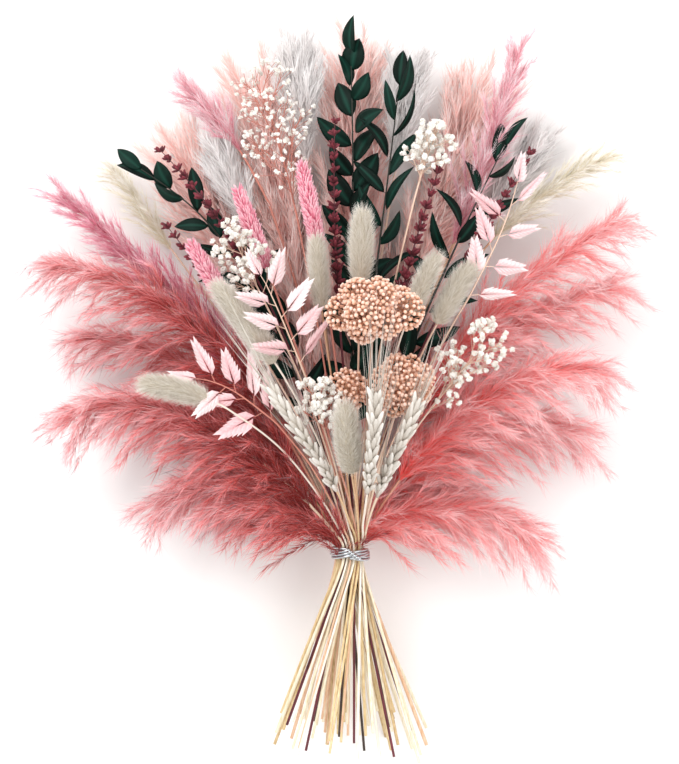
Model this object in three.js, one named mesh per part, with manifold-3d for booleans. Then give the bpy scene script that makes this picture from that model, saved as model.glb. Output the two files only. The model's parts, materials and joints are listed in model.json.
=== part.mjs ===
// A hand-tied bundle of dried pampas grass, with dried flowers, seed heads and foliage, lying on its back on a table.
// The cut ends point along -Y, the plumes fan out towards +Y, and the front of the bundle faces up, along +Z.
// Each grass or flower is one piece: its stem runs from the cut end, through the tie, to the tip of its head.
import * as THREE from "three";
import { mergeVertices } from "three/addons/utils/BufferGeometryUtils.js";
import Module from "manifold-3d";

const wasm = await Module();
wasm.setup();

// ---- Driving dimensions, in millimetres and degrees ----
const STRAW_D = 2.9; // of the straw that carries a full pampas plume, at its cut end
const STRAW_NECK = 0.57; // share of a stem's thickness that is left at the tie and above it
const STRAW_GAP = 0.4; // least room between two stems inside the tie
const CLEARANCE = 0.4; // least room between any two pieces elsewhere
const TIE_WIDTH = 9; // along the stems
const TIE_WIRE = 1.8; // thickness of one turn of the binding wire
const TIE_TURNS = 4;
const TAIL_LENGTH = 116; // from the tie to the longest cut end
const TAIL_CUT = 0.2; // share of the tail by which the shortest stem is cut shorter
const TAIL_RADIUS = 51; // of the circle that the cut ends splay out to
const TAIL_TURN = 60; // how far the stems spiral about the bundle's axis as they cross the tie
const TAIL_SCATTER = 7; // how far a cut end may stray from its even place, across the bundle
const HEADS_SIZE = 1; // scale of every reach and lift below
const SIDES = 6; // sides of a stem and of a turned head

// ---- The kinds of grass and flower: stem and head sizes, and the dyed colour ----
const KINDS = {
  coral_plume: { stem: STRAW_D, head: 150, width: 24, profile: "plume", colour: 0xe4707c, roughness: 0.95 },
  rose_plume: { stem: 2.5, head: 105, width: 15, profile: "plume", colour: 0xe0819b, roughness: 0.95 },
  blush_plume: { stem: STRAW_D, head: 145, width: 23, profile: "plume", colour: 0xf2c9bd, roughness: 0.95 },
  pearl_plume: { stem: STRAW_D, head: 140, width: 22, profile: "plume", colour: 0xd9d3da, roughness: 0.95 },
  cream_plume: { stem: 2.5, head: 125, width: 18, profile: "plume", colour: 0xe9e0c4, roughness: 0.95 },
  pink_spike: { stem: 2.2, head: 46, width: 11, profile: "spike", colour: 0xe05c80, roughness: 0.9 },
  bunny_tail: { stem: 2.0, head: 42, width: 16, profile: "oval", colour: 0xe6e0cf, roughness: 0.95 },
  barley_ear: { stem: 2.3, head: 54, width: 10, profile: "ear", colour: 0xdfd6c6, roughness: 0.75 },
  lavender: { stem: 2.2, head: 84, width: 9, profile: "whorls", colour: 0x5f1a28, roughness: 0.8 },
  rice_flower: { stem: 2.4, head: 34, width: 44, profile: "umbel", colour: 0xf0c09a, roughness: 0.7 },
  baby_breath: { stem: 2.0, head: 62, width: 52, profile: "spray", colour: 0xf4efe8, roughness: 0.8 },
  leaf_branch: { stem: 2.4, head: 138, width: 12, profile: "leaves", colour: 0x173f33, roughness: 0.55 },
  oat_spray: { stem: 2.0, head: 66, width: 8, profile: "oats", colour: 0xf0bcc0, roughness: 0.7 },
};

// ---- The stems, as they are laid into the bundle ----
// name, kind, fan and reach of the tip from the tie, heading of the tip, lift of the tip above the middle of the tie,
// and where it differs from its kind's, the head's length and width.
// Fan and heading are degrees from the bundle's axis, with the right side positive.
const STEMS = [
  ["coral_plume_left_1", "coral_plume", -49, 254, -92, 6],
  ["coral_plume_left_2", "coral_plume", -55, 214, -100, -14],
  ["coral_plume_left_3", "coral_plume", -70, 186, -146, 20],
  ["coral_plume_left_4", "coral_plume", -84, 122, -160, 0, 120],
  ["coral_plume_left_5", "coral_plume", -78, 94, -150, -28, 76, 22],
  ["coral_plume_left_6", "coral_plume", -62, 172, -112, -31, 110],
  ["coral_plume_right_1", "coral_plume", 41, 266, 66, 4, 150, 18],
  ["coral_plume_right_2", "coral_plume", 48, 236, 84, -12],
  ["coral_plume_right_3", "coral_plume", 58, 190, 112, 16, 130],
  ["coral_plume_right_4", "coral_plume", 68, 160, 132, -20, 110],
  ["coral_plume_right_5", "coral_plume", 95, 118, 164, 6, 116, 18],
  ["coral_plume_right_6", "coral_plume", 74, 90, 128, -30, 70, 20],
  ["rose_plume_left", "rose_plume", -40, 284, -52, -8],
  ["rose_plume_top_left", "rose_plume", -21, 300, -50, -4, 80, 10],
  ["rose_plume_right", "rose_plume", 18, 322, 10, 2, 130],
  ["blush_plume_1", "blush_plume", -24, 278, -30, -34],
  ["blush_plume_2", "blush_plume", -12, 300, -12, -33],
  ["blush_plume_3", "blush_plume", 1, 310, 2, -33],
  ["blush_plume_4", "blush_plume", 16, 302, 17, -32],
  ["pearl_plume_1", "pearl_plume", -18, 268, -22, -6],
  ["pearl_plume_2", "pearl_plume", -6, 306, -4, -2],
  ["pearl_plume_3", "pearl_plume", 7, 298, 7, -6],
  ["pearl_plume_4", "pearl_plume", 25, 278, 32, -32],
  ["cream_plume_left", "cream_plume", -32, 280, -34, -26],
  ["cream_plume_right", "cream_plume", 35, 288, 72, -16],
  ["leaf_branch_left", "leaf_branch", -30, 262, -62, 16, 120],
  ["leaf_branch_centre", "leaf_branch", 0, 300, -2, 20],
  ["leaf_branch_right", "leaf_branch", 6, 284, 6, 22, 134],
  ["leaf_branch_far_right", "leaf_branch", 21, 262, 26, 12, 104],
  ["pink_spike_1", "pink_spike", -27, 198, -32, 34],
  ["pink_spike_2", "pink_spike", -17, 216, -20, 32],
  ["pink_spike_3", "pink_spike", -7, 222, -12, 36],
  ["lavender_1", "lavender", -25, 254, -44, 26, 90],
  ["lavender_2", "lavender", -29, 214, -38, 22, 80],
  ["lavender_3", "lavender", -2, 246, 2, 32, 104],
  ["lavender_4", "lavender", 13, 230, 20, 34, 76],
  ["lavender_5", "lavender", 24, 250, 31, 30, 104],
  ["bunny_tail_1", "bunny_tail", -26, 170, -40, 54, 54, 17],
  ["bunny_tail_2", "bunny_tail", 2, 194, 2, 52, 40, 15],
  ["bunny_tail_3", "bunny_tail", -6, 180, -2, 46, 40, 12],
  ["bunny_tail_4", "bunny_tail", 16, 176, 28, 48, 36, 12],
  ["bunny_tail_5", "bunny_tail", 23, 178, 33, 40, 38, 15],
  ["bunny_tail_6", "bunny_tail", -2, 86, -2, 78, 42, 17],
  ["bunny_tail_7", "bunny_tail", -50, 152, -86, 50, 38, 15],
  ["barley_ear_1", "barley_ear", -24, 98, -34, 76, 62],
  ["barley_ear_2", "barley_ear", 9, 86, 2, 88],
  ["barley_ear_3", "barley_ear", 23, 88, 24, 76],
  ["rice_flower_top", "rice_flower", 5, 154, 5, 66, 36, 54],
  ["rice_flower_low", "rice_flower", 16, 118, 12, 62, 38, 35],
  ["rice_flower_back", "rice_flower", -1, 105, -1, 50, 28, 24],
  ["baby_breath_top_left", "baby_breath", -10, 280, -13, 24, 78, 64],
  ["baby_breath_left", "baby_breath", -21, 200, -30, 40, 48, 40],
  ["baby_breath_top_right", "baby_breath", 11, 250, 14, 36, 36, 28],
  ["baby_breath_right", "baby_breath", 35, 150, 52, 46, 58, 42],
  ["baby_breath_low", "baby_breath", -11, 103, -10, 60, 34, 25],
  ["oat_spray_left", "oat_spray", -44, 136, -84, 46, 56],
  ["oat_spray_top_right", "oat_spray", 24, 240, 22, 46, 78],
  ["oat_spray_centre", "oat_spray", -17, 174, -22, 56, 62],
];

// ---- Head profiles: share of the head's length from its base, and share of its half width ----
const PROFILES = {
  plume: [[0.1, 0.5], [0.3, 0.95], [0.52, 1], [0.74, 0.74], [0.9, 0.4], [1, 0.08]],
  spike: [[0.1, 0.7], [0.35, 1], [0.7, 0.85], [0.9, 0.5], [1, 0.12]],
  oval: [[0.08, 0.6], [0.3, 0.96], [0.6, 1], [0.86, 0.66], [1, 0.12]],
  ear: [[0.08, 0.7], [0.35, 1], [0.7, 0.9], [1, 0.25]],
  whorls: [0, 1, 2, 3, 4, 5].flatMap((n) => [[n / 6 + 0.03, 0.3], [n / 6 + 0.1, 1 - 0.08 * n]]).concat([[1, 0.12]]),
  umbel: [[0.3, 0.07], [0.62, 0.06], [0.94, 0.05]],
  spray: [[0.25, 0.03], [0.55, 0.024], [0.85, 0.02]],
  leaves: [[0.2, 0.13], [0.4, 0.12], [0.6, 0.1], [0.8, 0.09], [0.97, 0.07]],
  oats: [[0.25, 0.14], [0.5, 0.12], [0.75, 0.1], [0.96, 0.09]],
};
// How much room a branched head keeps around its own stem, as a share of its half width.
const ROOM = { umbel: 0.8, spray: 0.16, leaves: 0.5, oats: 0.6 };

const widestStem = Math.max(...Object.values(KINDS).map((kind) => kind.stem));
const widestNeck = widestStem * STRAW_NECK;

const radians = THREE.MathUtils.degToRad;
const mix = THREE.MathUtils.lerp;
const fraction = (x) => x - Math.floor(x);
const spread = (n, step = 0.618) => fraction(n * step + 0.37); // an even, repeatable scatter from 0 to 1
const planDirection = (degrees) => new THREE.Vector3(Math.sin(radians(degrees)), Math.cos(radians(degrees)), 0);

// ---- Where the stems pass through the tie ----

// The first places of a close-packed grid, as [x, z] pairs, nearest the middle first.
function tiePlaces(count) {
  const pitch = widestNeck + STRAW_GAP;
  const rows = Math.ceil(Math.sqrt(count));
  const places = [];
  for (let row = -rows; row <= rows; row++) {
    for (let column = -rows; column <= rows; column++) {
      places.push([(column + (row & 1) / 2) * pitch, row * pitch * Math.sqrt(0.75)]);
    }
  }
  places.sort((a, b) => Math.hypot(...a) - Math.hypot(...b) || Math.atan2(...a) - Math.atan2(...b));
  return places.slice(0, count);
}

// Gives each stem a place on the side that it leans to, so that no two stems cross: two stems change places for as
// long as that brings their leans closer to their places, turned by the spiral.
function givePlaces(leans) {
  const places = tiePlaces(leans.length);
  const turn = radians(TAIL_TURN);
  const pull = (lean, [x, z]) =>
    lean.x * (x * Math.cos(turn) - z * Math.sin(turn)) + lean.z * (x * Math.sin(turn) + z * Math.cos(turn));
  const order = leans.map((_, n) => n);
  for (let changed = true; changed; ) {
    changed = false;
    for (let a = 0; a < order.length; a++) {
      for (let b = a + 1; b < order.length; b++) {
        const now = pull(leans[a], places[order[a]]) + pull(leans[b], places[order[b]]);
        const swapped = pull(leans[a], places[order[b]]) + pull(leans[b], places[order[a]]);
        if (swapped > now + 1e-9) {
          [order[a], order[b]] = [order[b], order[a]];
          changed = true;
        }
      }
    }
  }
  return order.map((n) => places[n]);
}

// ---- The route of one stem, as stations with a place, a radius and the room that it keeps ----

function headOf(row) {
  const kind = KINDS[row[1]];
  return { ...kind, length: row[6] ?? kind.head, half: (row[7] ?? kind.width) / 2 };
}

// The curve from the tie to the tip.
function stemCurve([, , fan, reach, heading, lift], [x, z]) {
  const far = reach * HEADS_SIZE;
  const high = lift * HEADS_SIZE;
  const start = new THREE.Vector3(x, TIE_WIDTH / 2 + 1, z);
  const tip = planDirection(fan).multiplyScalar(far).setZ(high);
  const leave = THREE.MathUtils.clamp(fan * 0.5, -38, 38);
  const first = start.clone().addScaledVector(planDirection(leave), far * 0.34).setZ(mix(z, high, 0.5));
  const last = tip.clone().addScaledVector(planDirection(heading), -far * 0.38).setZ(mix(z, high, 0.96));
  return new THREE.CubicBezierCurve3(start, first, last, tip);
}

function routeOf(row, place, number) {
  const head = headOf(row);
  const [x, z] = place;
  const cutRadius = head.stem / 2;
  const neckRadius = cutRadius * STRAW_NECK;
  const stations = [];
  const add = (point, radius, room = radius, fixed = false) =>
    stations.push({ point, radius, room: Math.max(room, radius), fixed, home: point.clone() });

  // The tail is straight, and splays and turns away from the tie.
  const tail = TAIL_LENGTH * (1 - TAIL_CUT * spread(number)) - TIE_WIDTH / 2;
  const bundle = Math.hypot(...tiePlaces(STEMS.length).at(-1));
  const splay = (TAIL_RADIUS / bundle) * (tail / TAIL_LENGTH);
  const turn = radians(TAIL_TURN);
  const stray = (TAIL_SCATTER * tail) / TAIL_LENGTH;
  const outX = splay * (Math.cos(turn) * x - Math.sin(turn) * z) + stray * (2 * spread(number, 0.755) - 1);
  const outZ = splay * (Math.sin(turn) * x + Math.cos(turn) * z) + stray * (2 * spread(number, 0.57) - 1);
  const half = TIE_WIDTH / 2 + 1;
  const bend = mix(0.1, 0.4, spread(number, 0.29)); // where along its tail the stem may give way to its neighbours
  for (const share of [1, bend]) {
    const radius = mix(neckRadius, cutRadius, share);
    add(new THREE.Vector3(x + outX * share, -half - tail * share, z + outZ * share), radius);
  }
  add(new THREE.Vector3(x, -half, z), neckRadius, neckRadius, true);
  add(new THREE.Vector3(x, half, z), neckRadius, neckRadius, true);

  // The upper stem, then the head along the last of the curve.
  const curve = stemCurve(row, place);
  const length = curve.getLength();
  const headStart = 1 - Math.min(head.length / length, 0.86);
  for (const share of [0.1, 0.3, 0.6, 0.9, 1]) {
    add(curve.getPointAt(headStart * share), neckRadius);
  }
  for (const [along, wide] of PROFILES[head.profile]) {
    const room = (ROOM[head.profile] ?? 0) * head.half * (head.profile === "umbel" ? along ** 2 : 1);
    add(curve.getPointAt(mix(headStart, 1, along)), Math.max(wide * head.half, 0.45), room);
  }
  return stations;
}

// ---- The stems settle against each other ----

// The nearest points of two segments, as shares along each.
function nearest(a, b, c, d) {
  const u = b.clone().sub(a);
  const v = d.clone().sub(c);
  const w = a.clone().sub(c);
  const uu = u.dot(u);
  const vv = v.dot(v);
  const uv = u.dot(v);
  const uw = u.dot(w);
  const vw = v.dot(w);
  const clamp = (value) => Math.min(1, Math.max(0, value));
  const level = uu * vv - uv * uv;
  let s = level > 1e-9 ? clamp((uv * vw - vv * uw) / level) : 0.5;
  const t = clamp((uv * s + vw) / vv);
  s = clamp((uv * t - uw) / uu);
  return [s, t];
}

// Pushes apart the stems that are closer than their room allows, a little at a time, and keeps each stem's bend smooth.
function settle(routes, lowest) {
  const ROUNDS = 260;
  const QUIET = 90; // the last rounds only push
  const segments = [];
  routes.forEach((stations, stem) => {
    for (let k = 0; k + 1 < stations.length; k++) {
      segments.push({ stem, a: stations[k], b: stations[k + 1] });
    }
  });
  const push = (segment, share, direction, amount) => {
    for (const [station, weight] of [[segment.a, 1 - share], [segment.b, share]]) {
      if (!station.fixed) station.point.addScaledVector(direction, amount * weight);
    }
  };
  const middle = new THREE.Vector3();
  for (let round = 0; round < ROUNDS; round++) {
    for (const segment of segments) {
      segment.middle = segment.a.point.clone().add(segment.b.point).multiplyScalar(0.5);
      segment.size = segment.a.point.distanceTo(segment.b.point) / 2 + Math.max(segment.a.room, segment.b.room);
    }
    for (let i = 0; i < segments.length; i++) {
      const one = segments[i];
      for (let j = i + 1; j < segments.length; j++) {
        const two = segments[j];
        const apart = one.size + two.size + CLEARANCE;
        if (one.stem === two.stem || one.middle.distanceToSquared(two.middle) > apart * apart) continue;
        const [s, t] = nearest(one.a.point, one.b.point, two.a.point, two.b.point);
        const from = two.a.point.clone().lerp(two.b.point, t);
        const away = one.a.point.clone().lerp(one.b.point, s).sub(from);
        const gap = away.length();
        const need = mix(one.a.room, one.b.room, s) + mix(two.a.room, two.b.room, t) + CLEARANCE + 0.1;
        if (gap >= need) continue;
        if (gap < 1e-6) away.set(0, 0, 1);
        away.normalize();
        push(one, s, away, (need - gap) * 0.5);
        push(two, t, away, (gap - need) * 0.5);
      }
    }
    for (const stations of routes) {
      const calm = round < ROUNDS - QUIET;
      const moved = stations.map((station) => station.point.clone().sub(station.home));
      stations.forEach((station, k) => {
        if (station.fixed) return;
        if (calm && k > 0 && k + 1 < stations.length) {
          middle.copy(moved[k - 1]).add(moved[k + 1]).multiplyScalar(0.5);
          station.point.copy(station.home).add(moved[k].lerp(middle, 0.35).multiplyScalar(0.995));
        }
        station.point.z = Math.max(station.point.z, lowest + station.room);
      });
    }
  }
}

// ---- Solids ----

// A frame at each station: the direction of the stem there, and two directions across it that don't twist.
function framesOf(stations) {
  const frames = [];
  let across = new THREE.Vector3(1, 0, 0);
  stations.forEach((station, k) => {
    const before = stations[Math.max(k - 1, 0)].point;
    const after = stations[Math.min(k + 1, stations.length - 1)].point;
    const along = after.clone().sub(before).normalize();
    across = across.clone().addScaledVector(along, -across.dot(along)).normalize();
    frames.push({ along, across, up: across.clone().cross(along) });
  });
  return frames;
}

// A turned solid with one ring at each station, bent so that its axis runs through the stations.
function turned(stations, grow = 0) {
  const last = stations.length - 1;
  const profile = [new THREE.Vector2(0, 0)];
  stations.forEach((station, k) => profile.push(new THREE.Vector2(station.radius + grow, k)));
  profile.push(new THREE.Vector2(0, last));
  const geometry = new THREE.LatheGeometry(profile, SIDES);
  const frames = framesOf(stations);
  const position = geometry.getAttribute("position");
  const point = new THREE.Vector3();
  for (let n = 0; n < position.count; n++) {
    const k = Math.round(position.getY(n));
    const { along, across, up } = frames[k];
    point.copy(stations[k].point);
    point.addScaledVector(across, position.getX(n)).addScaledVector(up, position.getZ(n));
    if (k === 0) point.addScaledVector(along, -grow);
    if (k === last) point.addScaledVector(along, grow);
    position.setXYZ(n, point.x, point.y, point.z);
  }
  return geometry;
}

// A geometry as a manifold-3d solid, and back.
function solidOf(geometry) {
  const bare = geometry.clone();
  bare.deleteAttribute("normal");
  bare.deleteAttribute("uv");
  const merged = mergeVertices(bare, 1e-4);
  return new wasm.Manifold(
    new wasm.Mesh({
      numProp: 3,
      vertProperties: new Float32Array(merged.attributes.position.array),
      triVerts: new Uint32Array(merged.index.array),
    }),
  );
}

function geometryOf(solid) {
  const mesh = solid.getMesh();
  const geometry = new THREE.BufferGeometry();
  geometry.setAttribute("position", new THREE.BufferAttribute(new Float32Array(mesh.vertProperties), 3));
  geometry.setIndex(new THREE.BufferAttribute(new Uint32Array(mesh.triVerts), 1));
  geometry.computeVertexNormals();
  return geometry;
}

const joined = (solids) => solids.reduce((a, b) => a.add(b));

// A flat leaf or husk, pointed at both ends.
function leaf({ base, along, face, length, width, thick, grow }) {
  const geometry = new THREE.SphereGeometry(1, 6, 4);
  geometry.scale(width / 2 + 2 * grow, length / 2 + 2 * grow, thick / 2 + 2 * grow);
  geometry.translate(0, length / 2, 0);
  const side = along.clone().cross(face).normalize();
  const front = side.clone().cross(along).normalize();
  geometry.applyMatrix4(new THREE.Matrix4().makeBasis(side, along, front).setPosition(base));
  return solidOf(geometry);
}

function twig(from, to, radius, grow) {
  const along = to.clone().sub(from);
  const geometry = new THREE.CylinderGeometry(radius + grow, radius + grow, along.length() + 2 * grow, 4);
  const turn = new THREE.Quaternion().setFromUnitVectors(new THREE.Vector3(0, 1, 0), along.normalize());
  geometry.applyQuaternion(turn);
  geometry.translate(...from.clone().lerp(to, 0.5).toArray());
  return solidOf(geometry);
}

function ball(centre, radius, detail, grow) {
  const geometry = new THREE.IcosahedronGeometry(radius + grow, detail);
  geometry.translate(...centre.toArray());
  return solidOf(geometry);
}

// The place and frame at a share of the head.
function atHead(stations, profile, share) {
  const first = stations.length - 1 - PROFILES[profile].length;
  const place = share * PROFILES[profile].length;
  const k = Math.min(first + Math.floor(place), stations.length - 2);
  const frame = framesOf(stations)[k];
  return { point: stations[k].point.clone().lerp(stations[k + 1].point, first + place - k), ...frame };
}

// A direction that leans out from the stem, turned about it.
function leaning({ along, across, up }, out, around) {
  const side = across.clone().multiplyScalar(Math.cos(radians(around)));
  side.addScaledVector(up, Math.sin(radians(around)));
  const direction = along.clone().multiplyScalar(Math.cos(radians(out)));
  return direction.addScaledVector(side, Math.sin(radians(out))).normalize();
}

// What grows from the stem of each branched head.
const BRANCHES = {
  // Broad leaves in pairs, and one at the tip.
  leaves(stations, head, grow, seed) {
    const pairs = Math.round(head.length / 30);
    const made = [];
    for (let n = 0; n < pairs * 2; n++) {
      const frame = atHead(stations, "leaves", 0.04 + (0.86 * Math.floor(n / 2)) / pairs);
      const around = (n % 2 ? 180 : 0) + 50 * (spread(n + seed) - 0.5);
      const along = leaning(frame, 34 + 22 * spread(n + seed, 0.41), around);
      const length = mix(34, 27, n / pairs / 2);
      made.push(leaf({ base: frame.point, along, face: frame.up, length, width: 12.5, thick: 1, grow }));
    }
    const end = atHead(stations, "leaves", 0.9);
    made.push(leaf({ base: end.point, along: end.along, face: end.up, length: 26, width: 9, thick: 1, grow }));
    return made;
  },
  // Flat spikelets that hang from thin stalks.
  oats(stations, head, grow, seed) {
    const count = Math.round(head.length / 10);
    const made = [];
    for (let n = 0; n < count; n++) {
      const frame = atHead(stations, "oats", 0.1 + (0.86 * n) / count);
      const along = leaning(frame, n === count - 1 ? 8 : 42, (n % 2 ? 180 : 0) + 60 * (spread(n + seed) - 0.5));
      const hang = frame.point.clone().addScaledVector(along, 6);
      made.push(twig(frame.point, hang, 0.4, grow));
      made.push(leaf({ base: hang, along, face: frame.up, length: 19, width: 7.5, thick: 1.4, grow }));
    }
    return made;
  },
  // Fine forks, each with a round flower at its end.
  spray(stations, head, grow, seed) {
    const count = Math.max(7, Math.round(head.length / 6));
    const made = [];
    for (let n = 0; n < count; n++) {
      const low = 0.08 + (0.84 * n) / count;
      const frame = atHead(stations, "spray", low);
      const along = leaning(frame, mix(44, 30, low), 137.5 * (n + seed));
      const flower = frame.point.clone().addScaledVector(along, head.half * mix(1, 0.55, low));
      made.push(twig(frame.point, flower, 0.35, grow), ball(flower, 3, 0, grow));
    }
    const end = atHead(stations, "spray", 0.99);
    made.push(ball(end.point, 3, 0, grow));
    return made;
  },
  // Stalks that rise to one dome of buds.
  umbel(stations, head, grow, seed) {
    const outer = 6;
    const frame = atHead(stations, "umbel", 0.3);
    const crown = atHead(stations, "umbel", 0.95);
    const bud = head.half * 0.44;
    const made = [ball(crown.point.clone().addScaledVector(crown.along, -bud * 0.7), bud * 1.15, 1, grow)];
    for (let n = 0; n < outer; n++) {
      const side = leaning(crown, 90, (360 * (n + 0.3 * spread(n + seed))) / outer);
      const centre = crown.point.clone().addScaledVector(side, head.half * 0.6).addScaledVector(crown.along, -bud * 1.3);
      made.push(ball(centre, bud, 1, grow), twig(frame.point, centre, 0.7, grow));
    }
    return made;
  },
};

// ---- The tie: wire wound round the stems, as one ring with a ridge for each turn ----
function tieSolid(bundle) {
  const inner = bundle + CLEARANCE;
  const pitch = TIE_WIDTH / TIE_TURNS;
  const outline = [new THREE.Vector2(inner, -TIE_WIDTH / 2)];
  for (let turn = 0; turn < TIE_TURNS; turn++) {
    const low = -TIE_WIDTH / 2 + turn * pitch;
    outline.push(new THREE.Vector2(inner + TIE_WIRE * 0.6, low + pitch * 0.08));
    outline.push(new THREE.Vector2(inner + TIE_WIRE, low + pitch * 0.5));
  }
  outline.push(new THREE.Vector2(inner + TIE_WIRE * 0.6, TIE_WIDTH / 2 - pitch * 0.08));
  outline.push(new THREE.Vector2(inner, TIE_WIDTH / 2));
  outline.push(outline[0].clone());
  return new THREE.LatheGeometry(outline, 20);
}

// ---- The bundle ----

function material(kind) {
  return new THREE.MeshStandardMaterial({ color: KINDS[kind].colour, roughness: KINDS[kind].roughness, metalness: 0 });
}

function bundleOf(rows) {
  const leans = rows.map((row) => stemCurve(row, [0, 0]).getPointAt(0.4).divideScalar(row[3]));
  const places = givePlaces(leans);
  const routes = rows.map((row, n) => routeOf(row, places[n], n));
  settle(routes, -TAIL_RADIUS - widestStem / 2);

  // The branched heads come last: what would run into another piece is cut away from them.
  const branched = rows.map((row) => headOf(row).profile in BRANCHES);
  const roomy = routes.map((stations) => solidOf(turned(stations, CLEARANCE)));
  const grown = [];
  const group = new THREE.Group();
  rows.forEach((row, n) => {
    let geometry = turned(routes[n]);
    if (branched[n]) {
      const head = headOf(row);
      const branches = (grow) => joined(BRANCHES[head.profile](routes[n], head, grow, n));
      const blocked = [...roomy.filter((_, other) => other !== n), ...grown];
      const free = blocked.reduce((left, other) => left.subtract(other), branches(0));
      const pieces = solidOf(geometry).add(free).decompose();
      const whole = pieces.sort((a, b) => b.surfaceArea() - a.surfaceArea())[0];
      grown.push(branches(CLEARANCE));
      geometry = geometryOf(whole);
    }
    const mesh = new THREE.Mesh(geometry, material(row[1]));
    mesh.name = row[0];
    group.add(mesh);
  });

  const bundle = Math.hypot(...tiePlaces(rows.length).at(-1)) + widestNeck / 2;
  const wire = new THREE.MeshStandardMaterial({ color: 0xc9cccf, roughness: 0.25, metalness: 1 });
  const tie = new THREE.Mesh(tieSolid(bundle), wire);
  tie.name = "tie_wire";
  group.add(tie);
  return group;
}

// The origin is under the middle of the bundle, on the surface that it lies on.
const bundle = bundleOf(STEMS);
const box = new THREE.Box3().setFromObject(bundle, true);
bundle.position.set(-(box.min.x + box.max.x) / 2, -(box.min.y + box.max.y) / 2, -box.min.z);

export default bundle;
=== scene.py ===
"""A hand-tied bundle of dried pampas grass with dried flowers, lying on its back.

Each stem of the frame gives a curve from its cut end to its tip. A Geometry Nodes tree for each kind of plant
grows the straw, side branches, hairs, buds or leaves along it, and the result is one plain mesh for the stem.
"""

import json
from math import cos, pi, radians, sin

import bmesh
import bpy
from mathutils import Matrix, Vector


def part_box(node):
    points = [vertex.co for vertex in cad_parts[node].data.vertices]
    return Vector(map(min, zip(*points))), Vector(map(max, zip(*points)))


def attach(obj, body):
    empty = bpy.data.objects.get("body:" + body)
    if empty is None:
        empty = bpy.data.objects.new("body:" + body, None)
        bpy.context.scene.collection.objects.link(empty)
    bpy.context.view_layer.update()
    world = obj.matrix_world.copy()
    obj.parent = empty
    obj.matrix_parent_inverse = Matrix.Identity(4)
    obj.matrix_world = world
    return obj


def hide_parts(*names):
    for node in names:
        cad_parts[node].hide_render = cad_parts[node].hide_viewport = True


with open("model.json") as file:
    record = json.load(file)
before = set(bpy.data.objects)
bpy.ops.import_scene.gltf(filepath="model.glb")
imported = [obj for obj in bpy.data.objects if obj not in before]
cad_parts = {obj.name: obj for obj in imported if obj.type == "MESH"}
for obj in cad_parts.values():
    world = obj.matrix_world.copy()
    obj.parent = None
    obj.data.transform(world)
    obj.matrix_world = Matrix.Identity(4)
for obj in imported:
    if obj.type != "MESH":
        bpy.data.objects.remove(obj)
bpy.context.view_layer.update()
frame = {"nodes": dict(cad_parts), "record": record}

MM = 0.001
NODES = frame["nodes"]
KIND = {part["node"]: part["material_slot"] for part in frame["record"]["subparts"]}
STEM_RINGS = 9  # rings of a stem's solid from its cut end to the base of its head
LINE_STEP = 4 * MM  # between the points of a stem's curve
BED_DEPTH = 8 * MM  # of what the plant's own weight presses together on the table
GOLDEN_ANGLE = radians(137.5)  # from each branch or kernel to the next, round the stem
tie_low, tie_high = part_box("tie_wire")
TIE = (tie_low + tie_high) / 2
TIE_RADIUS = (tie_high.x - tie_low.x) / 2


# ---- Nodes ----

def add(tree, kind, inputs=(), **settings):
    """Adds one node with its settings. An input takes a value, a socket, or a node, meaning its first live
    output. A colour ramp takes its stops as (place, hex colour) pairs."""
    node = tree.nodes.new(kind)
    stops = settings.pop("stops", ())
    for name, value in settings.items():
        setattr(node, name, value)
    for place, colour in stops[:-2]:
        node.color_ramp.elements.new(place)
    for number, (place, colour) in enumerate(stops):
        node.color_ramp.elements[number].position = place
        node.color_ramp.elements[number].color = linear(colour)
    for key, value in dict(inputs).items():
        if isinstance(value, bpy.types.Node):
            value = next(output for output in value.outputs if output.enabled)
        if isinstance(value, bpy.types.NodeSocket):
            tree.links.new(value, node.inputs[key])
        else:
            node.inputs[key].default_value = value
    return node


def linear(code):
    """A hex sRGB colour as the linear RGBA that a shader takes."""
    channels = [int(code[n:n + 2], 16) / 255 for n in (0, 2, 4)]
    return (*[c / 12.92 if c <= 0.04045 else ((c + 0.055) / 1.055) ** 2.4 for c in channels], 1.0)


# ---- Materials ----

def finish(name, roughness, **constants):
    """A material with one Principled shader, whose constants are set on its own sockets."""
    material = bpy.data.materials.new(name)
    material.use_nodes = True
    shader = material.node_tree.nodes["Principled BSDF"]
    shader.inputs["Roughness"].default_value = roughness
    for socket, value in constants.items():
        shader.inputs[socket.replace("_", " ")].default_value = value
    return material, material.node_tree, shader


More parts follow.
